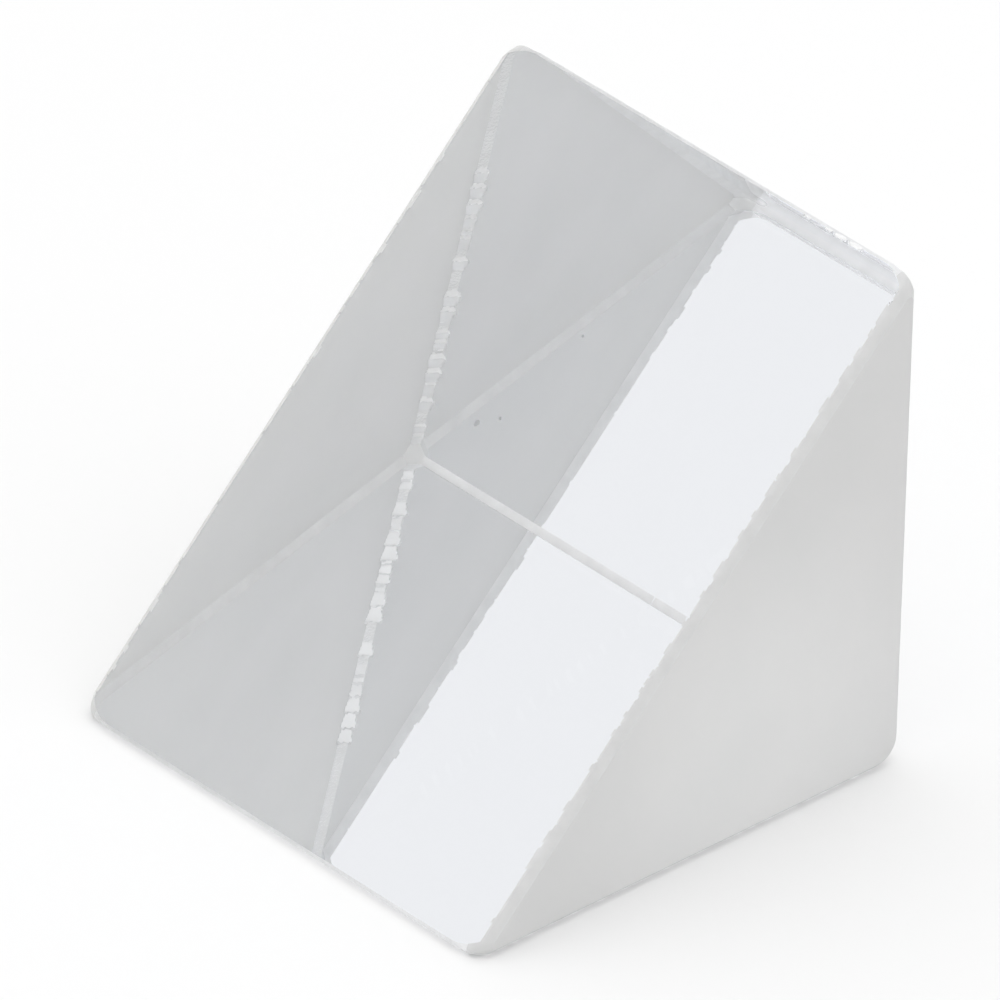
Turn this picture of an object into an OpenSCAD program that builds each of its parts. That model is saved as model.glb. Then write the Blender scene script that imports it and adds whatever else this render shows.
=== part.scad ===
/* [Glass block] */
// Height and depth of the block, measured over its ground edges
leg = 25; // [12:0.5:80]
// Length of the block between its two ground ends
block_l = 26; // [12:0.5:150]

/* [Ground edges] */
// Width of the flat ground along the right-angled edge
roof_flat = 0.4; // [0.1:0.05:1.5]
// Width of the flat ground along the two 45 degree edges
sharp_flat = 0.4; // [0.1:0.05:1.5]
// Width of the flats ground around both ends
end_flat = 0.5; // [0.1:0.05:1.5]
// Depth of the facet ground on each corner, below the point where its three flats meet
corner_back = 0.35; // [0.1:0.05:0.8]

/* [Hidden] */

// Outward directions of the two leg faces, the sloping face and the two ends
BASE = [0, 0, -1];
BACK = [0, 1, 0];
SLOPE = [0, -cos(45), sin(45)];
ENDS = [[-1, 0, 0], [1, 0, 0]];

// A flat of width w between faces whose outward directions are a and b lies where
// the distances to the two faces add up to this length
function setback(w, a, b) = w * norm(cross(a, b)) / norm(a + b);

roof_set = setback(roof_flat, BASE, BACK);
sharp_set = setback(sharp_flat, BACK, SLOPE);
end_set = setback(end_flat, BASE, ENDS[0]);

// Leg of the triangle before grinding, which takes the setback off both 45 degree edges
sharp_leg = leg + sharp_set;

// Places of the upright leg face and of the front edge before grinding
y_back = leg / 2;
y_front = y_back - sharp_leg;

// The long edges before grinding: a point at mid length, the two faces, the setback
LONG_EDGES = [
    [[0, y_back, 0], BASE, BACK, roof_set],
    [[0, y_back, sharp_leg], BACK, SLOPE, sharp_set],
    [[0, y_front, 0], SLOPE, BASE, sharp_set]
];

// One point on each long face, for the flats around the ends
LONG_FACES = [[BASE, [0, y_back, 0]], [BACK, [0, y_back, 0]], [SLOPE, [0, y_front, 0]]];

// Side of the cutting blocks, longer than any line through the sharp block
reach = 2 * (block_l + sharp_leg);

// All that lies outside a plane facing dir, at a depth of back below the point at
module beyond(at, dir, back) {
    translate(at)
        rotate([0, acos(dir.z / norm(dir)), atan2(dir.y, dir.x)])
            translate([-reach / 2, -reach / 2, -back])
                cube(reach);
}

// Right-angled triangle with equal legs, carried along the length
module sharp_block() {
    rotate([90, 0, 90])
        linear_extrude(height = block_l, center = true)
            polygon([[y_front, 0], [y_back, 0], [y_back, sharp_leg]]);
}

// What is ground away along the three long edges
module long_edge_cuts() {
    for (edge = LONG_EDGES) {
        dir = edge[1] + edge[2];
        beyond(edge[0], dir, edge[3] / norm(dir));
    }
}

// What is ground away around one end
module end_edge_cuts(end) {
    for (face = LONG_FACES) {
        dir = face[0] + end;
        beyond(face[1] + end * block_l / 2, dir, end_set / norm(dir));
    }
}

// What is ground away at the three corners of one end
module corner_cuts(end) {
    for (edge = LONG_EDGES) {
        dir = edge[1] + edge[2] + end;
        flats_meet = (end_set + edge[3] / 2) / norm(dir);
        beyond(edge[0] + end * block_l / 2, dir, flats_meet + corner_back);
    }
}

// The prism: one block of clear glass with polished long faces, ground ends and ground edges
module prism_block() {
    color([0.93, 0.95, 0.95, 0.5])
        difference() {
            sharp_block();
            long_edge_cuts();
            for (end = ENDS) {
                end_edge_cuts(end);
                corner_cuts(end);
            }
        }
}

prism_block();
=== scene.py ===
"""A right-angled glass prism: one block of clear glass with ground ends and chipped, ground edges."""
import math
from collections import namedtuple

import bpy
import numpy as np
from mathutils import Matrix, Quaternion, Vector


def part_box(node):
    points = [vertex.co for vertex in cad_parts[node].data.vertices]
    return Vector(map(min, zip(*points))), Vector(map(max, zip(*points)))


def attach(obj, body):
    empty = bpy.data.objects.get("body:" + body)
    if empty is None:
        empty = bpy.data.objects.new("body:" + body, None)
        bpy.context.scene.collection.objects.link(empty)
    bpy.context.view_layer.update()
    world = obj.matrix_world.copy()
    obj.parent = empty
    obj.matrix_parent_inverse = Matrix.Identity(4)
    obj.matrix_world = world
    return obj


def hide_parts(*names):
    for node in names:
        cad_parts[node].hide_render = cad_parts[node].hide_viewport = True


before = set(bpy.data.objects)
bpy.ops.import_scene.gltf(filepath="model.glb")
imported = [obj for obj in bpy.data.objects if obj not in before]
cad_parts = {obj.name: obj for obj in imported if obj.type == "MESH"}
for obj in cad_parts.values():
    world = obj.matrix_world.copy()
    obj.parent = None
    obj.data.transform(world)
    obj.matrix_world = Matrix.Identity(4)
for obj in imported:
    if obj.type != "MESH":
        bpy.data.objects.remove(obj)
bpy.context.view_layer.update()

bl_info = {
    "name": "Glass prism",
    "version": (1, 0, 0),
    "blender": (4, 5, 0),
    "location": "3D View > Sidebar > Prism",
    "description": "Builds a right-angled glass prism with ground ends and edges, and a plain studio",
    "category": "Add Mesh",
}

NODE = "prism_block"
BODY = "root"
MM = 0.001

# Outward directions, across the length, of the base, the upright leg face and the sloping face, in the
# order in which they follow each other round the section, and the sum of each and the next
FACES = np.array([[0.0, -1.0], [1.0, 0.0], [-math.sqrt(0.5), math.sqrt(0.5)]])
CORNERS = FACES + np.roll(FACES, -1, axis=0)
BASE, UPRIGHT, SLOPE = range(3)
# Half the angle between the faces at a right-angled edge and at a 45 degree edge
HALF_RIGHT, HALF_SHARP = math.radians(45), math.radians(22.5)

# Places of the points across the margin beside a flat, as shares of its width
MARGIN_STEPS = np.array([0.0, 0.07, 0.14, 0.22, 0.31, 0.42, 0.56, 0.75, 1.0])
# Numbers of points across a flat, down an end flat and along the caps, and the power that crowds the last
# ones towards the end
FLAT_POINTS, END_POINTS, CAP_POINTS = 13, 7, 15
CAP_CROWDING = 1.3
# Length of a collar beyond its longest cap
COLLAR_SPARE = 0.05 * MM
# How far the rounded caps of the corners reach, in widths of their facets: down the end face at the roof,
# the top and the front corner of the near end, then of the far end, whose roof corner has no cap
CAP_SHARES = np.array([[1.7, 1.25, 1.15], [0.0, 1.15, 1.3]])
# The same along the long edges
CAP_RUN = 3.0
# A cap bows out by a share of the way to its facet's plane, and by no more than a share of the bow that
# would touch the two faces
CAP_FILL, CAP_ROOM = 0.95, 0.7

# The smallest chips, as a share of the widest or deepest
LEAST_CHIP = 0.3
# The crushed spots: their places along the near half of the top edge, their widths as shares of the
# widest, their depth as a share of their width, how far in from the upright face they lie and where the
# knocks came from
CRUSHED_PLACES = np.array([0.48, 0.585, 0.64, 0.715])
CRUSHED_WIDTHS = np.array([0.5, 0.5, 0.85, 1.0])
CRUSHED_DEPTH = 0.12
CRUSHED_INSET = 0.15 * MM
KNOCK = np.array([0.0, -0.2, 1.0])
# What the steps add to the seed, so that they have draws of their own
STEP_SEED = 2
# Shortest and longest step, as shares of the mean, and the range of their falls, as shares of the steepest
STEP_LENGTHS, STEP_FALLS = (0.4, 1.6), (0.1, 1.0)
# Share of the steps that stay at most, and how fast that share drops to nothing towards the steps' top
STEPS_KEPT, STEPS_THINNING = 0.85, 3.0
# Height at which the steps begin, and over which they grow to their full depth
STEP_START, STEP_GROWTH = 0.5 * MM, 1.0 * MM

# The finishes, in the order of the block's materials
POLISHED, NEAR_END, FAR_END, NEAR_RIM, FAR_RIM, STEPPED_RIM, GROUND_ROOF, GROUND_EDGE, CRUSHED = range(9)
# How far from a plane a point still lies in it
IN_PLANE = 1e-7
# Reach of the rims from the ends, in setbacks of the end flats, and of the roof's flat, in fine margins
RIM_REACH, ROOF_REACH = 3, 2
# Ridges sharper than this aren't smoothed
SHARP_ANGLE = math.radians(25)

# Sockets of a Mix node that mixes colours
MIX_FACTOR, MIX_FIRST, MIX_SECOND, MIX_RESULT = 0, 6, 7, 2
# The range in which nearly all of a noise lies
NOISE_RANGE = (0.3, 0.7)
# Places and radii of the specks on the sloping face
SPECKS = (
    ((-2.95 * MM, 1.4 * MM, 14.3 * MM), 0.13 * MM),
    ((-2.0 * MM, 1.9 * MM, 14.8 * MM), 0.08 * MM),
    ((-0.6 * MM, 5.4 * MM, 18.3 * MM), 0.07 * MM),
)
# Size of the notches in a speck's outline, the range of its radius, as shares of the given one, and its
# shade and roughness
SPECK_NOTCH = 0.15 * MM
SPECK_LEAST, SPECK_MOST = 0.6, 1.4
SPECK_SHADE, SPECK_ROUGHNESS = 0.75, 0.5
# The ground ends: size of their coarser spots, the part of the noise that greys them, what these spots
# pass on of each colour, how far the roughness goes up and down, and where the patch of each end fades out:
# the near end's patch is painted light, the far end's patch painted shade
UNEVEN_SIZE = 7 * MM
UNEVEN_GREY = (0.35, 0.7)
UNEVEN_TINT = (0.965, 0.972, 0.972, 1.0)
UNEVEN_ROUGHNESS = 0.06
NEAR_FADE, FAR_FADE = (2 * MM, 14 * MM), (3 * MM, 26 * MM)
# The ground flats: size of the dusty spots, the part of the noise that greys them, their shade, and how
# far the roughness goes up and down
DUST_SIZE = 0.9 * MM
DUST_GREY = (0.35, 0.65)
DUST_SHADE = 0.95
DUST_ROUGHNESS = 0.08
# The fine grain of all ground glass
GRAIN, GRAIN_STRENGTH, GRAIN_DEPTH = 0.12 * MM, 0.1, 0.02 * MM
# The crushed spots: share of the light that they let through, kept small so that they show as white painted
# glints, and the size, shade, roughness and relief of their splinters
CRUSHED_GLINT_CLEARNESS = 0.15
SPLINTER = 0.1 * MM
SPLINTER_SHADE = 0.9
SPLINTER_ROUGHNESS, SPLINTER_SPREAD = 0.45, 0.15
SPLINTER_STRENGTH, SPLINTER_DEPTH = 0.4, 0.03 * MM

# The floor's number of sides and how far it lies below the prism
FLOOR_SIDES = 96
FLOOR_DROP = 0.05 * MM
# Bounces that the light may make inside the glass
BOUNCES = 32
# Width of the camera's sensor, in millimetres, and the distances between which it sees, in metres
SENSOR_WIDTH = 36.0
CLIP_START, CLIP_END = 0.01, 20.0


class PrismSizes(bpy.types.PropertyGroup):
    """Widths of the ground flats and the sizes of the chips along them."""

    roof_flat: bpy.props.FloatProperty(
        name="Roof flat", description="Width of the flat ground along the right-angled edge",
        default=0.4 * MM, unit="LENGTH", precision=5)
    sharp_flat: bpy.props.FloatProperty(
        name="Sharp flats", description="Width of the flats ground along the two 45 degree edges",
        default=0.4 * MM, unit="LENGTH", precision=5)
    end_flat: bpy.props.FloatProperty(
        name="End flats", description="Width of the flats ground around both ends",
        default=0.5 * MM, unit="LENGTH", precision=5)
    corner_back: bpy.props.FloatProperty(
        name="Corner facets", description="Depth of the facet ground on each corner",
        default=0.35 * MM, unit="LENGTH", precision=5)
    margin: bpy.props.FloatProperty(
        name="Fine margin", description="Width of the finely divided strip beside each flat",
        default=0.9 * MM, unit="LENGTH", precision=5)
    pitch: bpy.props.FloatProperty(
        name="Pitch", description="Spacing of the points along an edge",
        default=0.1 * MM, unit="LENGTH", precision=5)
    chip_pitch: bpy.props.FloatProperty(
        name="Chip pitch", description="Mean distance from one ground chip to the next along a border",
        default=0.45 * MM, unit="LENGTH", precision=5)
    chip_width: bpy.props.FloatProperty(
        name="Chip width", description="Width of the widest chips at the sloping face's ends",
        default=1.0 * MM, unit="LENGTH", precision=5)
    chip_depth: bpy.props.FloatProperty(
        name="Chip depth", description="Depth of the deepest of these chips, as a share of their width",
        default=0.08, subtype="FACTOR")
    far_chip_depth: bpy.props.FloatProperty(
        name="Far chip depth", description="The same at the sloping face's far end",
        default=0.05, subtype="FACTOR")
    fine_chip_width: bpy.props.FloatProperty(
        name="Fine chip width", description="Width of the widest chips round the rest of the near end",
        default=0.45 * MM, unit="LENGTH", precision=5)
    fine_chip_depth: bpy.props.FloatProperty(
        name="Fine chip depth",
        description="Depth of the deepest of the fine chips, as a share of their width",
        default=0.02, subtype="FACTOR")
    step_length: bpy.props.FloatProperty(
        name="Step length", description="Mean length of the steps broken in the far end's upright flat",
        default=0.6 * MM, unit="LENGTH", precision=5)
    step_fall: bpy.props.FloatProperty(
        name="Step fall", description="Steepest slope at which a step falls into the glass", default=0.28)
    step_rise: bpy.props.FloatProperty(
        name="Step rise", description="Slope at which it comes out again", default=1.2)
    step_top: bpy.props.FloatProperty(
        name="Step top", description="Height up to which there are steps, fewer and fewer towards it",
        default=22 * MM, unit="LENGTH", precision=5)
    crushed_width: bpy.props.FloatProperty(
        name="Crushed spots",
        description="Width of the widest spot on the top edge that was crushed by a knock",
        default=0.7 * MM, unit="LENGTH", precision=5)
    seed: bpy.props.IntProperty(name="Seed", description="Seed of the chips' places", default=7)


class PrismFinish(bpy.types.PropertyGroup):
    """Values of the glass and its finishes."""

    index: bpy.props.FloatProperty(
        name="Refractive index", description="Refractive index of the crown glass", default=1.517)
    clear_colour: bpy.props.FloatVectorProperty(
        name="Clear glass",
        description="What a polished face passes on or mirrors of each colour",
        subtype="COLOR", size=4, default=(0.988, 0.992, 1.0, 1.0))
    # Both ends are the same ground glass: the near end's darker colour is painted shade and the far end's
    # paler colour painted light
    near_colour: bpy.props.FloatVectorProperty(
        name="Near end", description="Colour of the ground end at +X", subtype="COLOR", size=4,
        default=(0.715, 0.712, 0.708, 1.0))
    # Painted light: a paler patch low on the near end, where more light falls on it
    near_painted_light_colour: bpy.props.FloatVectorProperty(
        name="Near end's pale patch",
        description="Colour of the patch of fine dust on it",
        subtype="COLOR", size=4, default=(0.805, 0.802, 0.797, 1.0))
    near_painted_light_place: bpy.props.FloatVectorProperty(
        name="Near patch's place", description="Middle of this patch", subtype="XYZ",
        default=(13.0 * MM, 4.0 * MM, 4.5 * MM), precision=5)
    far_colour: bpy.props.FloatVectorProperty(
        name="Far end", description="Colour of the ground end at -X", subtype="COLOR", size=4,
        default=(0.825, 0.82, 0.8, 1.0))
    # Painted shade: the far end is darker round its right-angled corner
    far_painted_shade_colour: bpy.props.FloatVectorProperty(
        name="Far end's dull patch",
        description="Colour round its right-angled corner",
        subtype="COLOR", size=4, default=(0.77, 0.768, 0.757, 1.0))
    far_painted_shade_place: bpy.props.FloatVectorProperty(
        name="Far patch's place", description="Middle of this patch", subtype="XYZ",
        default=(-13.0 * MM, 12.5 * MM, 0.0), precision=5)
    end_clearness: bpy.props.FloatProperty(
        name="Ends' clearness",
        description="Share of the light that a ground end lets through and doesn't scatter",
        default=0.25, subtype="FACTOR")
    end_roughness: bpy.props.FloatProperty(
        name="Ends' roughness",
        description="Mean roughness of the ground ends",
        default=0.75, subtype="FACTOR")
    near_rim_colour: bpy.props.FloatVectorProperty(
        name="Near rim",
        description="Colour of the flats ground round the near end",
        subtype="COLOR", size=4, default=(0.745, 0.745, 0.74, 1.0))
    far_rim_colour: bpy.props.FloatVectorProperty(
        name="Far rim", description="Colour of the flats ground round the far end", subtype="COLOR", size=4,
        default=(0.82, 0.82, 0.81, 1.0))
    rim_clearness: bpy.props.FloatProperty(
        name="Rims' clearness", description="Share of the light that these flats let through", default=0.3,
        subtype="FACTOR")
    step_clearness: bpy.props.FloatProperty(
        name="Steps' clearness",
        description="Share of the light that the broken steps let through",
        default=0.36, subtype="FACTOR")
    step_roughness: bpy.props.FloatProperty(
        name="Steps' roughness",
        description="Mean roughness of the broken steps",
        default=0.4, subtype="FACTOR")
    roof_colour: bpy.props.FloatVectorProperty(
        name="Ground roof",
        description="Colour of the flat ground along the right-angled edge",
        subtype="COLOR", size=4, default=(0.75, 0.75, 0.75, 1.0))
    edge_colour: bpy.props.FloatVectorProperty(
        name="Ground edges",
        description="Colour of the flats ground along the two 45 degree edges",
        subtype="COLOR", size=4, default=(0.93, 0.93, 0.93, 1.0))
    edge_clearness: bpy.props.FloatProperty(
        name="Edges' clearness",
        description="Share of the light that these flats let through",
        default=0.65, subtype="FACTOR")
    edge_roughness: bpy.props.FloatProperty(
        name="Flats' roughness",
        description="Mean roughness of all ground flats",
        default=0.7, subtype="FACTOR")
    # Crushed glass and painted glints: the crushed spots' near-white colour shows as white glints
    crushed_glint_colour: bpy.props.FloatVectorProperty(
        name="Crushed glass", description="Colour of the crushed spots", subtype="COLOR", size=4,
        default=(0.96, 0.96, 0.96, 1.0))


class StudioLook(bpy.types.PropertyGroup):
    """Camera, floor and light."""

    azimuth: bpy.props.FloatProperty(
        name="Azimuth", description="Camera's angle round the prism, from its front", subtype="ANGLE",
        default=math.radians(46.6))
    elevation: bpy.props.FloatProperty(
        name="Elevation", description="Camera's angle above the floor", subtype="ANGLE",
        default=math.radians(32.64))
    roll: bpy.props.FloatProperty(
        name="Roll", description="Camera's tilt to its left", subtype="ANGLE", default=math.radians(1.77))
    distance: bpy.props.FloatProperty(
        name="Distance",
        description="From the camera to the point it looks at",
        unit="LENGTH", default=1.2685)
    aim: bpy.props.FloatVectorProperty(
        name="Aim", description="Point at the middle of the picture", subtype="XYZ",
        default=(-0.57 * MM, 0.71 * MM, 11.75 * MM), precision=5)
    lens: bpy.props.FloatProperty(
        name="Focal length", description="In millimetres, on a 36 mm wide sensor", default=1047.7)
    floor_colour: bpy.props.FloatVectorProperty(
        name="Floor",
        description="Colour of the floor",
        subtype="COLOR", size=4, default=(0.88, 0.88, 0.88, 1.0))
    floor_glow: bpy.props.FloatProperty(
        name="Floor white", description="What makes the floor white for the camera and for the glass",
        default=0.02)
    floor_radius: bpy.props.FloatProperty(
        name="Floor radius", description="Radius of the floor", unit="LENGTH", default=3.0)
    room_colour: bpy.props.FloatVectorProperty(
        name="Room", description="Light from the room all round", subtype="COLOR", size=4,
        default=(0.9, 0.9, 0.9, 1.0))
    top_colour: bpy.props.FloatVectorProperty(
        name="Overhead", description="Light from overhead", subtype="COLOR", size=4,
        default=(1.0, 1.0, 1.0, 1.0))
    top_strength: bpy.props.FloatProperty(
        name="Overhead strength",
        description="How much brighter than white the overhead light is",
        default=1.5)
    top_direction: bpy.props.FloatVectorProperty(
        name="Overhead's direction", description="From the prism to the middle of the overhead light",
        subtype="DIRECTION", default=(0.0, 0.2, 0.98))
    top_inner: bpy.props.FloatProperty(
        name="Overhead inside",
        description="Angle from its middle to where the overhead light starts to fade",
        subtype="ANGLE", default=math.radians(15))
    top_outer: bpy.props.FloatProperty(
        name="Overhead edge", description="Angle from its middle to where it has faded out",
        subtype="ANGLE", default=math.radians(55))
    front_colour: bpy.props.FloatVectorProperty(
        name="Front", description="Light from the dimmer front of the room", subtype="COLOR", size=4,
        default=(0.7, 0.7, 0.7, 1.0))
    front_direction: bpy.props.FloatVectorProperty(
        name="Front's direction", description="From the prism to the middle of the dimmer front",
        subtype="DIRECTION", default=(0.6, -0.77, 0.23))
    front_inner: bpy.props.FloatProperty(
        name="Front's inside", description="Angle from its middle to where it starts to fade",
        subtype="ANGLE", default=math.radians(10))
    front_outer: bpy.props.FloatProperty(
        name="Front's edge", description="Angle from its middle to where it has faded out",
        subtype="ANGLE", default=math.radians(55))


Block = namedtuple("Block", "length leg end sets corner_sets reach")


def block_sizes(sizes):
    """Length and leg of the block, the setbacks of its end flats, its long edges' flats and its corners'
    facets, and the distance of each long face from the origin along its own direction.

    A flat of width w between two faces that meet at an angle a lies where the distances to the two faces
    add up to w times the cosine of a / 2. A corner's facet lies where the distances to its three faces
    add up to a larger sum, so that it passes below the point where the three flats meet. Each corner lies
    between the face of its number and the next one.
    """
    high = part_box(NODE)[1]
    length, leg = 2 * high[0], 2 * high[1]
    roof = sizes.roof_flat * math.cos(HALF_RIGHT)
    sharp = sizes.sharp_flat * math.cos(HALF_SHARP)
    end = sizes.end_flat * math.cos(HALF_RIGHT)
    sets = np.array([roof, sharp, sharp])
    spread = np.sqrt(1.0 + (CORNERS**2).sum(axis=1))
    corner_sets = end + sets / 2 + sizes.corner_back * spread
    reach = np.array([0.0, leg / 2, math.sqrt(0.5) * (leg / 2 + sharp)])
    return Block(length, leg, end, sets, corner_sets, reach)


def section_corners(reach, inset, setback):
    """Both ends of the flat at each corner of the section, for many stations at once.

    At a station the faces lie inset inside their planes, and a corner's flat lies where the distances to
    its two planes add up to setback. So its two ends are inset from one plane and setback - inset from
    the other. Returns an array of station, corner, end of the flat, (y, z).
    """
    ends = np.empty((len(inset), 3, 2, 2))
    for corner in range(3):
        after = (corner + 1) % 3
        solve = np.linalg.inv(FACES[[corner, after]])
        far = setback[:, corner] - inset
        for side, (first, second) in enumerate(((inset, far), (far, inset))):
            planes = np.stack([reach[corner] - first, reach[after] - second], axis=-1)
            ends[:, corner, side] = planes @ solve.T
    return ends


def round_section(ends, bulge, margins, flats, middles):
    """Points round the section at every station.

    A corner gives the points of the margin on the face before it, of its flat and of the margin on the
    face after it, and the middle of that face follows in even steps. The flat stands out from the
    straight line between its ends by 4 bulge t (1 - t), where t runs from 0 to 1 across it.
    """
    points = []
    for corner in range(3):
        after = (corner + 1) % 3
        first, second = ends[:, corner, 0, None], ends[:, corner, 1, None]
        before_edge = np.array([-FACES[corner][1], FACES[corner][0]])
        after_edge = np.array([-FACES[after][1], FACES[after][0]])
        points.append(first - margins[::-1, None] * before_edge)
        across = flats[1:-1, None]
        outward = CORNERS[corner] / np.linalg.norm(CORNERS[corner])
        bowed = 4 * bulge[:, corner, None, None] * across * (1.0 - across) * outward
        points.append(first + across * (second - first) + bowed)
        points.append(second + margins[:, None] * after_edge)
        start = second + margins[-1] * after_edge
        stop = ends[:, after, 0, None] - margins[-1] * after_edge
        steps = np.linspace(0.0, 1.0, middles[after] + 2)[1:-1, None]
        points.append(start + steps * (stop - start))
    return np.concatenate(points, axis=1)


def collar_rings(block, sizes, middles):
    """Distances of a collar's stations from the end, and the points round the section at each of them,
    for the near and for the far end.

    At a distance a from the end, a facet that is c wide there has widened its flat by c - a. Its cap
    widens the flat by share c (1 - a / 3c)^2 where that is more, and bows out nearly as far as the facet,
    but not past the faces. On an end face the rings draw in towards the point that is as far from all
    three long faces.
    """
    end, reach = block.end, block.reach
    margins = sizes.margin * MARGIN_STEPS
    flats = np.linspace(0.0, 1.0, FLAT_POINTS)
    widening = block.corner_sets - block.sets
    depth = CAP_RUN * widening.max() + COLLAR_SPARE
    inside = -margins[:0:-1]
    down = np.linspace(0.0, 1.0, END_POINTS) * end
    beyond = end + (depth - end) * np.linspace(0.0, 1.0, CAP_POINTS)[1:] ** CAP_CROWDING
    station = np.concatenate([inside, down, beyond])
    across = np.maximum(-station, 0.0)
    along = np.maximum(station, 0.0)[:, None]
    inset = np.maximum(end - along[:, 0], 0.0)
    inradius = (reach[SLOPE] + math.sqrt(0.5) * reach[UPRIGHT]) / (1.0 + math.sqrt(2.0))
    middle = np.array([block.leg / 2 - inradius, inradius])
    drawn_in = (1.0 - across / (inradius - end))[:, None, None]
    meeting = np.linalg.norm(CORNERS, axis=1)
    half_angle = np.arcsin(meeting / 2)
    facet = np.maximum(widening - along, 0.0)
    fading = np.maximum(1.0 - along / (CAP_RUN * widening), 0.0) ** 2
    rings = []
    for share in CAP_SHARES:
        cap = np.maximum(facet, share * widening * fading)
        setback = block.sets + cap
        width = (setback - 2 * inset[:, None]) / np.cos(half_angle)
        room = CAP_ROOM * width / (4 * np.tan(half_angle))
        bulge = np.minimum(CAP_FILL * (cap - facet) / meeting, room)
        ring = round_section(section_corners(reach, inset, setback), bulge, margins, flats, middles)
        rings.append(middle + (ring - middle) * drawn_in)
    return along, rings


def ring_quads(rows, columns, first):
    """Corner numbers of the quads of a grid whose columns are joined into a ring."""
    column = np.arange(columns)
    row = np.arange(rows - 1)[:, None]
    following = (column + 1) % columns
    corners = [row * columns + column, row * columns + following,
               (row + 1) * columns + following, (row + 1) * columns + column]
    return first + np.stack(corners, axis=-1).reshape(-1, 4)


def block_grids(sizes):
    """Points of the unchipped block, its fine quads and its large sheets.

    Each end is a collar: the section carried from a ring inside the end face, over the end flats and the
    corners' caps, to a ring on the long faces. Between the two collars a strip follows each long edge.
    The sheets are what the collars and strips leave open: the middles of the three long faces, then of
    the two ends.
    """
    block = block_sizes(sizes)
    spans = block.leg * np.array([1.0, 1.0, math.sqrt(2)])
    middles = np.rint(spans / sizes.pitch).astype(int)
    along, rings = collar_rings(block, sizes, middles)
    rows, count = rings[0].shape[:2]
    cross = 2 * len(MARGIN_STEPS) + FLAT_POINTS - 2
    first_of_corner = np.cumsum([0, cross + middles[UPRIGHT], cross + middles[SLOPE]])

    points, cells, collars = [], [], []
    first = 0
    for side, ring in zip((1.0, -1.0), rings):
        x = np.broadcast_to((side * (block.length / 2 - along))[:, None], (rows, count, 1))
        points.append(np.concatenate([x, ring], axis=-1).reshape(-1, 3))
        grid = ring_quads(rows, count, first)
        cells.append(grid if side < 0 else grid[:, ::-1])
        collars.append(first + np.arange(rows * count).reshape(rows, count))
        first += rows * count

    run = block.length - 2 * along[-1, 0]
    x = np.linspace(run / 2, -run / 2, int(round(run / sizes.pitch)) + 1)[1:-1]
    grid_x = np.broadcast_to(x[:, None, None], (len(x), cross, 1))
    strips = []
    for start in first_of_corner:
        columns = slice(start, start + cross)
        grid_yz = np.broadcast_to(rings[1][-1, columns], (len(x), cross, 2))
        points.append(np.concatenate([grid_x, grid_yz], axis=-1).reshape(-1, 3))
        inner = first + np.arange(len(x) * cross).reshape(len(x), cross)
        strip = np.concatenate([collars[0][-1:, columns], inner, collars[1][-1:, columns]])
        corners = [strip[:-1, :-1], strip[:-1, 1:], strip[1:, 1:], strip[1:, :-1]]
        cells.append(np.stack(corners, axis=-1).reshape(-1, 4)[:, ::-1])
        strips.append(strip)
        first += len(x) * cross

    sheets = []
    for corner, start in enumerate(first_of_corner):
        after = (corner + 1) % 3
        begin = start + cross - 1
        columns = np.arange(begin, begin + middles[after] + 2) % count
        loop = np.concatenate([
            collars[0][-1][columns], strips[after][1:-1, 0],
            collars[1][-1][columns[::-1]], strips[corner][-2:0:-1, -1]])
        sheets.append(loop[::-1])
    sheets += [collars[0][0], collars[1][0][::-1]]
    return np.concatenate(points), np.concatenate(cells), sheets


def dents(start, stop, place, width, share, outward):
    """Centres and radii of the spheres that leave dents of that width along a border.

    A dent is share of its width deep, so its sphere has the radius (width^2 / 4 + depth^2) / (2 depth),
    and the sphere's centre stands off the border by that radius less the depth.
    """
    depth = width * share
    radius = (width**2 / 4 + depth**2) / (2 * depth)
    outward = outward / np.linalg.norm(outward)
    centres = start + place[:, None] * (stop - start) + (radius - depth)[:, None] * outward
    return np.column_stack([centres, radius])


def face_borders(sizes):
    """The chipped borders between a polished face and a ground flat.

    Each is given by the width of its widest chips, the depth of its deepest as a share of that, its two
    ends and its outward direction.
    """
    block = block_sizes(sizes)
    (long_ends,) = section_corners(block.reach, np.zeros(1), block.sets[None])
    fine = sizes.fine_chip_width, sizes.fine_chip_depth
    near = sizes.chip_width, sizes.chip_depth
    far = sizes.chip_width, sizes.far_chip_depth
    borders = []
    chipped = ((1.0, BASE, fine), (1.0, UPRIGHT, fine), (1.0, SLOPE, near), (-1.0, SLOPE, far))
    for side, face, chips in chipped:
        outward = np.array([side, *FACES[face]]) / math.sqrt(2) + np.array([0.0, *FACES[face]])
        x = side * (block.length / 2 - block.end)
        start, stop = np.array([x, *long_ends[face - 1, 1]]), np.array([x, *long_ends[face, 0]])
        borders.append((*chips, start, stop, outward))
    return borders


def ground_chips(sizes):
    """Spheres of the small chips that the grinding left along the polished faces' borders."""
    draw = np.random.default_rng(sizes.seed)
    spheres = []
    for widest, deepest, start, stop, outward in face_borders(sizes):
        count = int(np.linalg.norm(stop - start) / sizes.chip_pitch)
        place = (np.arange(count) + draw.uniform(0.0, 1.0, count)) / count
        width = widest * (LEAST_CHIP + (1.0 - LEAST_CHIP) * draw.uniform(0.0, 1.0, count) ** 2)
        share = deepest * draw.uniform(LEAST_CHIP, 1.0, count)
        spheres.append(dents(start, stop, place, width, share, outward))
    return np.concatenate(spheres)


def crushed_spots(sizes):
    """Spheres of the few spots on the top edge that knocks have crushed."""
    block = block_sizes(sizes)
    start = np.array([0.0, block.leg / 2 - CRUSHED_INSET, block.leg])
    stop = start + np.array([block.length / 2, 0.0, 0.0])
    width = sizes.crushed_width * CRUSHED_WIDTHS
    return dents(start, stop, CRUSHED_PLACES, width, CRUSHED_DEPTH, KNOCK)


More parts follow.
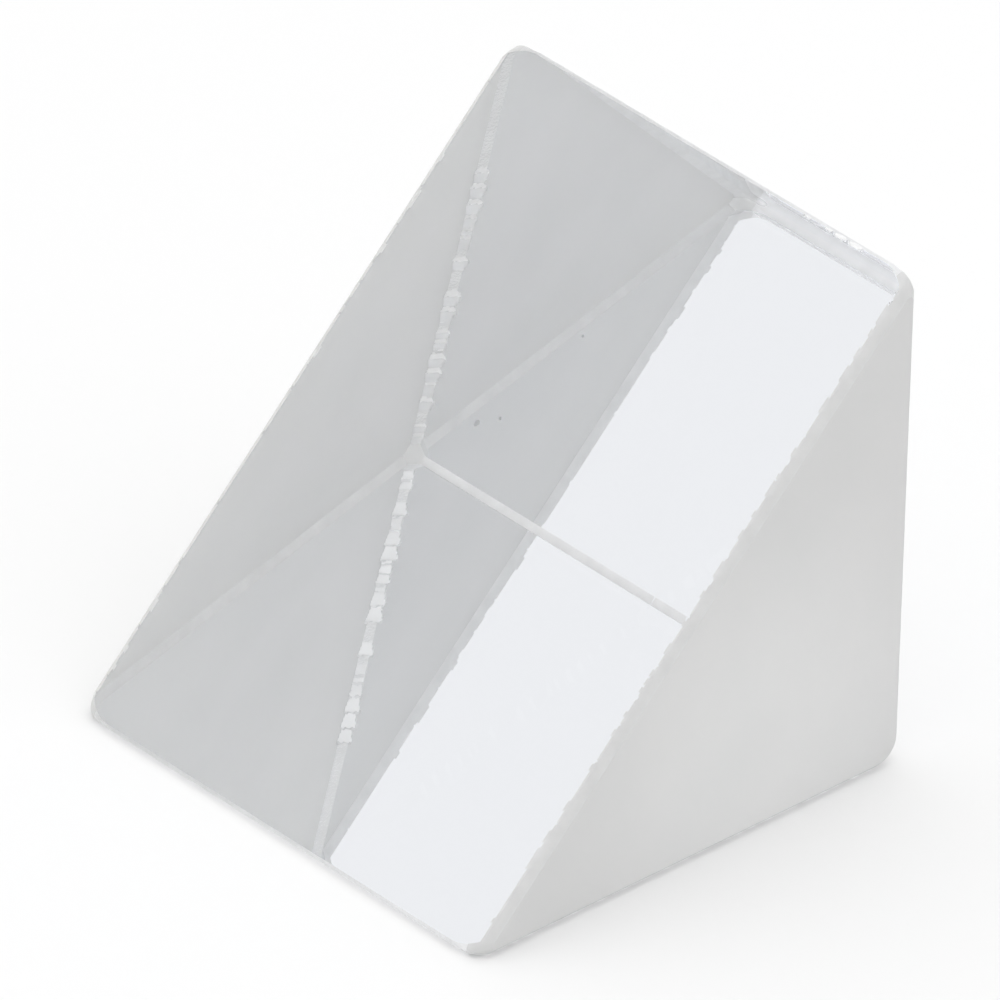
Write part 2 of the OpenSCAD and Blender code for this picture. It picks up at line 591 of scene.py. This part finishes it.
def chip_points(points, spheres):
    """Points inside a sphere move straight out from its centre to its surface. Returns the moved
    points and which of them moved."""
    moved = points.copy()
    for sphere in spheres:
        off = moved - sphere[:3]
        away = np.sqrt((off**2).sum(axis=1))
        hit = away < sphere[3]
        moved[hit] = sphere[:3] + off[hit] * (sphere[3] / away[hit])[:, None]
    return moved, (moved != points).any(axis=1)


def stepped_rim(points, sizes):
    """Points near the far end's upright flat move into the glass as far as the steps in it reach.

    At the height u above its foot a step of length l is min(fall u, step_rise (l - u)) deep, with a fall
    of its own: it falls in slowly and comes out again steeply. Points move square to the flat. Returns
    the moved points and which of them moved.
    """
    block = block_sizes(sizes)
    draw = np.random.default_rng(sizes.seed + STEP_SEED)
    count = int(2 * block.leg / sizes.step_length)
    feet = np.cumsum(sizes.step_length * draw.uniform(*STEP_LENGTHS, count))
    falls = sizes.step_fall * draw.uniform(*STEP_FALLS, count)
    kept = np.minimum(STEPS_THINNING * (1.0 - feet / sizes.step_top), STEPS_KEPT)
    falls[draw.uniform(0.0, 1.0, count) > kept] = 0.0
    height = np.clip(points[:, 2], feet[0], block.leg)
    above = np.searchsorted(feet, height, side="right")
    climbed = height - feet[above - 1]
    left = feet[above] - height
    deep = np.minimum(falls[above] * climbed, sizes.step_rise * left)
    deep *= np.clip((height - STEP_START) / STEP_GROWTH, 0.0, 1.0)
    inside = (block.length / 2 + points[:, 0]) + (block.leg / 2 - points[:, 1])
    short = np.where(deep > 0.0, np.maximum((block.end - inside) / math.sqrt(2) + deep, 0.0), 0.0)
    moved = points + short[:, None] * np.array([1.0, -1.0, 0.0]) / math.sqrt(2)
    return moved, short > 0.0


def finish_of_cells(points, stepped, knocked, cells, sizes):
    """Which finish each quad has.

    It is crushed where a knock moved any of its points, polished where they all lie in one long face's
    plane and a ground end where they lie in an end's plane, or in the facet of the far end's right-angled
    corner. Elsewhere it is a stepped rim where a step moved any of them, a ground rim near the ends, a
    ground roof by the right-angled edge and a ground edge by the other two.
    """
    block = block_sizes(sizes)
    x, y, z = points.T
    half = block.length / 2
    long_faces = np.abs(points[:, 1:] @ FACES.T - block.reach) < IN_PLANE
    near_end = np.abs(x - half) < IN_PLANE
    far_end = np.abs(x + half) < IN_PLANE
    # The far end's corner facet takes the far end's finish, and with it the painted shade round that corner
    facet = np.abs((x + half) + (block.leg / 2 - y) + z - block.corner_sets[0]) < IN_PLANE
    by_near = x > half - RIM_REACH * block.end
    by_far = x < RIM_REACH * block.end - half
    by_roof = y - z > block.leg / 2 - ROOF_REACH * sizes.margin
    places = [
        knocked[cells].any(axis=1), long_faces[cells].all(axis=1).any(axis=1), near_end[cells].all(axis=1),
        far_end[cells].all(axis=1) | facet[cells].all(axis=1), stepped[cells].any(axis=1),
        by_near[cells].all(axis=1), by_far[cells].all(axis=1), by_roof[cells].all(axis=1)]
    kinds = [CRUSHED, POLISHED, NEAR_END, FAR_END, STEPPED_RIM, NEAR_RIM, FAR_RIM, GROUND_ROOF]
    return np.select(places, kinds, GROUND_EDGE)


def new_material(name):
    """A node material with nothing in it but its output."""
    material = bpy.data.materials.new(name)
    material.use_nodes = True
    nodes = material.node_tree.nodes
    nodes.clear()
    output = nodes.new("ShaderNodeOutputMaterial")
    return material, nodes, material.node_tree.links, output


def glass_shader(nodes, links, output, finish, colour, clearness):
    """A shader with the glass's refractive index, joined to the output.

    It scatters what it doesn't let through.
    """
    shader = nodes.new("ShaderNodeBsdfPrincipled")
    shader.inputs["Base Color"].default_value = colour
    shader.inputs["IOR"].default_value = finish.index
    shader.inputs["Transmission Weight"].default_value = clearness
    links.new(shader.outputs["BSDF"], output.inputs["Surface"])
    return shader


def noise(nodes, links, place, grain, detail=2.0):
    """Noise whose grains are about grain across, on the object's own coordinates."""
    node = nodes.new("ShaderNodeTexNoise")
    node.inputs["Scale"].default_value = 1.0 / grain
    node.inputs["Detail"].default_value = detail
    links.new(place, node.inputs["Vector"])
    return node.outputs["Fac"]


def map_range(nodes, links, value, low, high, to_low, to_high, smooth=False):
    """The value carried from one range to another, and held at its ends."""
    node = nodes.new("ShaderNodeMapRange")
    node.interpolation_type = "SMOOTHSTEP" if smooth else "LINEAR"
    for name, number in (("From Min", low), ("From Max", high), ("To Min", to_low), ("To Max", to_high)):
        node.inputs[name].default_value = number
    links.new(value, node.inputs["Value"])
    return node.outputs["Result"]


def joined(nodes, links, operation, first, second):
    """Two values joined by a Math node."""
    node = nodes.new("ShaderNodeMath")
    node.operation = operation
    links.new(first, node.inputs[0])
    links.new(second, node.inputs[1])
    return node.outputs["Value"]


def distance(nodes, links, place, spot):
    """Distance from the spot."""
    node = nodes.new("ShaderNodeVectorMath")
    node.operation = "DISTANCE"
    node.inputs[1].default_value = spot
    links.new(place, node.inputs[0])
    return node.outputs["Value"]


def object_place(nodes):
    """The object's own coordinates."""
    return nodes.new("ShaderNodeTexCoord").outputs["Object"]


def blend(nodes, links, factor, first, second):
    """One value where the factor is 0 and the other where it is 1. Either may be a colour or a socket."""
    mix = nodes.new("ShaderNodeMix")
    mix.data_type = "RGBA"
    links.new(factor, mix.inputs[MIX_FACTOR])
    for socket, value in ((mix.inputs[MIX_FIRST], first), (mix.inputs[MIX_SECOND], second)):
        if isinstance(value, bpy.types.NodeSocket):
            links.new(value, socket)
        else:
            socket.default_value = value
    return mix.outputs[MIX_RESULT]


def shaded(nodes, links, factor, colour, darker):
    """The colour where the factor is 0, and that colour times darker where it is 1."""
    return blend(nodes, links, factor, colour, (*(darker * part for part in colour[:3]), 1.0))


def tinted(nodes, links, factor, colour, tint):
    """The colour where the factor is 0, and the colour times the tint where it is 1."""
    mix = nodes.new("ShaderNodeMix")
    mix.data_type = "RGBA"
    mix.blend_type = "MULTIPLY"
    links.new(factor, mix.inputs[MIX_FACTOR])
    links.new(colour, mix.inputs[MIX_FIRST])
    mix.inputs[MIX_SECOND].default_value = tint
    return mix.outputs[MIX_RESULT]


def roughened(nodes, links, shader, value, mean, spread):
    """The shader's roughness, which goes with the noise from mean - spread to mean + spread."""
    rough = map_range(nodes, links, value, *NOISE_RANGE, mean - spread, mean + spread)
    links.new(rough, shader.inputs["Roughness"])


def bumpy(nodes, links, shader, height, strength, depth):
    """The height as relief of that depth on the shader's surface."""
    bump = nodes.new("ShaderNodeBump")
    bump.inputs["Strength"].default_value = strength
    bump.inputs["Distance"].default_value = depth
    links.new(height, bump.inputs["Height"])
    links.new(bump.outputs["Normal"], shader.inputs["Normal"])


def polished_glass(finish):
    """Clear polished glass with a few specks of dirt on the sloping face.

    It mirrors the share that the Fresnel law gives, all of it beyond the critical angle. The rest it
    refracts.
    """
    material, nodes, links, output = new_material("polished_glass")
    clear = nodes.new("ShaderNodeBsdfRefraction")
    clear.inputs["IOR"].default_value = finish.index
    mirror = nodes.new("ShaderNodeBsdfGlossy")
    share = nodes.new("ShaderNodeFresnel")
    share.inputs["IOR"].default_value = finish.index
    both = nodes.new("ShaderNodeMixShader")
    links.new(share.outputs["Fac"], both.inputs[0])
    links.new(clear.outputs["BSDF"], both.inputs[1])
    links.new(mirror.outputs["BSDF"], both.inputs[2])
    links.new(both.outputs["Shader"], output.inputs["Surface"])
    place = object_place(nodes)
    notched = noise(nodes, links, place, SPECK_NOTCH)
    specks = []
    for spot, radius in SPECKS:
        border = map_range(nodes, links, notched, *NOISE_RANGE, SPECK_LEAST * radius, SPECK_MOST * radius)
        specks.append(joined(nodes, links, "LESS_THAN", distance(nodes, links, place, spot), border))
    speck = specks[0]
    for other in specks[1:]:
        speck = joined(nodes, links, "MAXIMUM", speck, other)
    colour = shaded(nodes, links, speck, finish.clear_colour, SPECK_SHADE)
    roughness = map_range(nodes, links, speck, 0.0, 1.0, 0.0, SPECK_ROUGHNESS)
    for shader in (clear, mirror):
        links.new(colour, shader.inputs["Color"])
        links.new(roughness, shader.inputs["Roughness"])
    return material


def ground_end(finish, name, colour, patch_colour, patch_place, patch_fade):
    """Evenly ground glass: a fine grain all over, slightly coarser and greyer here and there, and a
    soft patch of another colour that fades out between two distances from its middle: painted light on
    the near end, painted shade on the far end."""
    material, nodes, links, output = new_material(name)
    shader = glass_shader(nodes, links, output, finish, colour, finish.end_clearness)
    place = object_place(nodes)
    from_patch = distance(nodes, links, place, patch_place)
    # The patch is painted light on the near end and painted shade on the far end
    patch = map_range(nodes, links, from_patch, *patch_fade, 1.0, 0.0, smooth=True)
    ground = blend(nodes, links, patch, colour, patch_colour)
    uneven = noise(nodes, links, place, UNEVEN_SIZE, detail=4.0)
    grey = map_range(nodes, links, uneven, *UNEVEN_GREY, 0.0, 1.0)
    links.new(tinted(nodes, links, grey, ground, UNEVEN_TINT), shader.inputs["Base Color"])
    roughened(nodes, links, shader, uneven, finish.end_roughness, UNEVEN_ROUGHNESS)
    grain = noise(nodes, links, place, GRAIN, detail=2.0)
    bumpy(nodes, links, shader, grain, GRAIN_STRENGTH, GRAIN_DEPTH)
    return material


def near_end_glass(finish):
    """The near end, with a patch of painted light low down on it."""
    return ground_end(finish, "near_end_glass", finish.near_colour, finish.near_painted_light_colour,
                      finish.near_painted_light_place, NEAR_FADE)


def far_end_glass(finish):
    """The far end, with painted shade round its right-angled corner."""
    return ground_end(finish, "far_end_glass", finish.far_colour, finish.far_painted_shade_colour,
                      finish.far_painted_shade_place, FAR_FADE)


def ground_flat(finish, name, colour, clearness, roughness):
    """A coarsely ground flat, with grinding dust left in it here and there."""
    material, nodes, links, output = new_material(name)
    shader = glass_shader(nodes, links, output, finish, colour, clearness)
    place = object_place(nodes)
    dust = noise(nodes, links, place, DUST_SIZE, detail=3.0)
    grey = map_range(nodes, links, dust, *DUST_GREY, 0.0, 1.0)
    links.new(shaded(nodes, links, grey, colour, DUST_SHADE), shader.inputs["Base Color"])
    roughened(nodes, links, shader, dust, roughness, DUST_ROUGHNESS)
    grain = noise(nodes, links, place, GRAIN, detail=3.0)
    bumpy(nodes, links, shader, grain, GRAIN_STRENGTH, GRAIN_DEPTH)
    return material


def near_rim_glass(finish):
    """Flats round the near end, ground nearly as the end is."""
    return ground_flat(finish, "near_rim_glass", finish.near_rim_colour, finish.rim_clearness,
                       finish.edge_roughness)


def far_rim_glass(finish):
    """Flats round the far end, a little paler."""
    return ground_flat(finish, "far_rim_glass", finish.far_rim_colour, finish.rim_clearness,
                       finish.edge_roughness)


def stepped_rim_glass(finish):
    """The far end's upright flat, which is clearer where it is broken."""
    return ground_flat(finish, "stepped_rim_glass", finish.far_rim_colour, finish.step_clearness,
                       finish.step_roughness)


def ground_roof_glass(finish):
    """Flat along the right-angled edge, which lets through all that it doesn't mirror."""
    return ground_flat(finish, "ground_roof_glass", finish.roof_colour, 1.0, finish.edge_roughness)


def ground_edge_glass(finish):
    """Flats along the two 45 degree edges, paler than the other ground flats."""
    return ground_flat(finish, "ground_edge_glass", finish.edge_colour, finish.edge_clearness,
                       finish.edge_roughness)


def crushed_glint_glass(finish):
    """Crushed spots, white with splinters: crushed glass, with painted glints in its white."""
    material, nodes, links, output = new_material("crushed_glint_glass")
    shader = glass_shader(nodes, links, output, finish, finish.crushed_glint_colour, CRUSHED_GLINT_CLEARNESS)
    place = object_place(nodes)
    splinters = noise(nodes, links, place, SPLINTER, detail=2.0)
    colour = shaded(nodes, links, splinters, finish.crushed_glint_colour, SPLINTER_SHADE)
    links.new(colour, shader.inputs["Base Color"])
    roughened(nodes, links, shader, splinters, SPLINTER_ROUGHNESS, SPLINTER_SPREAD)
    bumpy(nodes, links, shader, splinters, SPLINTER_STRENGTH, SPLINTER_DEPTH)
    return material


class PRISM_OT_block(bpy.types.Operator):
    """Build the glass block with its ground flats and chips"""

    bl_idname = "prism.block"
    bl_label = "Glass block"

    def execute(self, context):
        sizes, finish = context.scene.prism_sizes, context.scene.prism_finish
        points, cells, sheets = block_grids(sizes)
        points, stepped = stepped_rim(points, sizes)
        points = chip_points(points, ground_chips(sizes))[0]
        points, knocked = chip_points(points, crushed_spots(sizes))
        finishes = finish_of_cells(points, stepped, knocked, cells, sizes)
        finishes = np.append(finishes, [POLISHED, POLISHED, POLISHED, NEAR_END, FAR_END])
        mesh = bpy.data.meshes.new("glass_block")
        mesh.from_pydata(points, [], cells.tolist() + [sheet.tolist() for sheet in sheets])
        for make in (polished_glass, near_end_glass, far_end_glass, near_rim_glass, far_rim_glass,
                     stepped_rim_glass, ground_roof_glass, ground_edge_glass, crushed_glint_glass):
            mesh.materials.append(make(finish))
        mesh.polygons.foreach_set("material_index", finishes)
        # Chips and caps are rounded, and the ridges between them stay sharp
        mesh.polygons.foreach_set("use_smooth", finishes != POLISHED)
        mesh.set_sharp_from_angle(angle=SHARP_ANGLE)
        if mesh.validate():
            raise RuntimeError("the block's mesh had faults")
        block = bpy.data.objects.new("glass_block", mesh)
        context.scene.collection.objects.link(block)
        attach(block, BODY)
        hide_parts(NODE)
        return {"FINISHED"}


def floor_material(look):
    """Pale floor that is white to the camera and to the glass, and still takes the shadow."""
    material, nodes, links, output = new_material("pale_floor")
    diffuse = nodes.new("ShaderNodeBsdfDiffuse")
    diffuse.inputs["Color"].default_value = look.floor_colour
    path = nodes.new("ShaderNodeLightPath")
    seen = path.outputs["Is Camera Ray"]
    for name in ("Is Glossy Ray", "Is Transmission Ray"):
        seen = joined(nodes, links, "MAXIMUM", seen, path.outputs[name])
    strength = nodes.new("ShaderNodeMath")
    strength.operation = "MULTIPLY"
    strength.inputs[1].default_value = look.floor_glow
    links.new(seen, strength.inputs[0])
    glow = nodes.new("ShaderNodeEmission")
    links.new(strength.outputs["Value"], glow.inputs["Strength"])
    both = nodes.new("ShaderNodeAddShader")
    links.new(diffuse.outputs["BSDF"], both.inputs[0])
    links.new(glow.outputs["Emission"], both.inputs[1])
    links.new(both.outputs["Shader"], output.inputs["Surface"])
    return material


def lobe(nodes, links, direction, middle, inner, outer):
    """1 round the middle direction, fading smoothly to 0 from the inner to the outer angle."""
    toward = nodes.new("ShaderNodeVectorMath")
    toward.operation = "DOT_PRODUCT"
    toward.inputs[1].default_value = Vector(middle).normalized()
    links.new(direction, toward.inputs[0])
    return map_range(nodes, links, toward.outputs["Value"], math.cos(outer), math.cos(inner), 0.0, 1.0,
                     smooth=True)


def studio_world(look):
    """Even light from the room, softly brighter overhead and softly dimmer towards the front."""
    world = bpy.data.worlds.new("studio")
    world.use_nodes = True
    nodes, links = world.node_tree.nodes, world.node_tree.links
    nodes.clear()
    output = nodes.new("ShaderNodeOutputWorld")
    background = nodes.new("ShaderNodeBackground")
    links.new(background.outputs["Background"], output.inputs["Surface"])
    direction = nodes.new("ShaderNodeTexCoord").outputs["Generated"]
    overhead = lobe(nodes, links, direction, look.top_direction, look.top_inner, look.top_outer)
    front = lobe(nodes, links, direction, look.front_direction, look.front_inner, look.front_outer)
    top = (*(look.top_strength * part for part in look.top_colour[:3]), 1.0)
    colour = blend(nodes, links, overhead, look.room_colour, top)
    links.new(blend(nodes, links, front, colour, look.front_colour), background.inputs["Color"])
    return world


def add_camera(scene, look):
    """Camera on a long lens, at the photograph's viewing angle."""
    data = bpy.data.cameras.new("camera")
    data.lens = look.lens
    data.sensor_width = SENSOR_WIDTH
    data.clip_start, data.clip_end = CLIP_START, CLIP_END
    camera = bpy.data.objects.new("camera", data)
    azimuth, elevation = look.azimuth, look.elevation
    back = Vector((math.sin(azimuth) * math.cos(elevation), -math.cos(azimuth) * math.cos(elevation),
                   math.sin(elevation)))
    camera.location = Vector(look.aim) + back * look.distance
    turned = (-back).to_track_quat("-Z", "Y") @ Quaternion((0.0, 0.0, 1.0), look.roll)
    camera.rotation_euler = turned.to_euler()
    scene.collection.objects.link(camera)
    scene.camera = camera


class PRISM_OT_stage(bpy.types.Operator):
    """Build the floor, the soft light and the camera"""

    bl_idname = "prism.stage"
    bl_label = "Studio"

    def execute(self, context):
        scene, look = context.scene, context.scene.studio_look
        turn = np.linspace(0.0, 2 * math.pi, FLOOR_SIDES, endpoint=False)
        ring = look.floor_radius * np.stack([np.cos(turn), np.sin(turn)], axis=1)
        points = np.column_stack([ring, np.full(len(ring), -FLOOR_DROP)])
        mesh = bpy.data.meshes.new("floor")
        mesh.from_pydata(points, [], [list(range(len(points)))])
        mesh.materials.append(floor_material(look))
        floor = bpy.data.objects.new("floor", mesh)
        scene.collection.objects.link(floor)
        scene.world = studio_world(look)
        add_camera(scene, look)
        scene.view_settings.view_transform = "Standard"
        scene.cycles.max_bounces = BOUNCES
        scene.cycles.glossy_bounces = BOUNCES
        scene.cycles.transmission_bounces = BOUNCES
        scene.cycles.blur_glossy = 0.0
        return {"FINISHED"}


class PRISM_PT_panel(bpy.types.Panel):
    """Sidebar panel with the prism's values and steps"""

    bl_idname = "PRISM_PT_panel"
    bl_label = "Glass prism"
    bl_space_type = "VIEW_3D"
    bl_region_type = "UI"
    bl_category = "Prism"

    def draw(self, context):
        for group in (context.scene.prism_sizes, context.scene.prism_finish, context.scene.studio_look):
            box = self.layout.box()
            for name in group.__annotations__:
                box.prop(group, name)
        for step in (PRISM_OT_block, PRISM_OT_stage):
            self.layout.operator(step.bl_idname)


GROUPS = {"prism_sizes": PrismSizes, "prism_finish": PrismFinish, "studio_look": StudioLook}
STEPS = (PRISM_OT_block, PRISM_OT_stage, PRISM_PT_panel)


def register():
    for name, group in GROUPS.items():
        bpy.utils.register_class(group)
        setattr(bpy.types.Scene, name, bpy.props.PointerProperty(type=group))
    for step in STEPS:
        bpy.utils.register_class(step)


def unregister():
    for step in reversed(STEPS):
        bpy.utils.unregister_class(step)
    for name, group in reversed(GROUPS.items()):
        delattr(bpy.types.Scene, name)
        bpy.utils.unregister_class(group)


def main():
    register()
    bpy.ops.prism.block()
    bpy.ops.prism.stage()


if __name__ == "__main__":
    main()
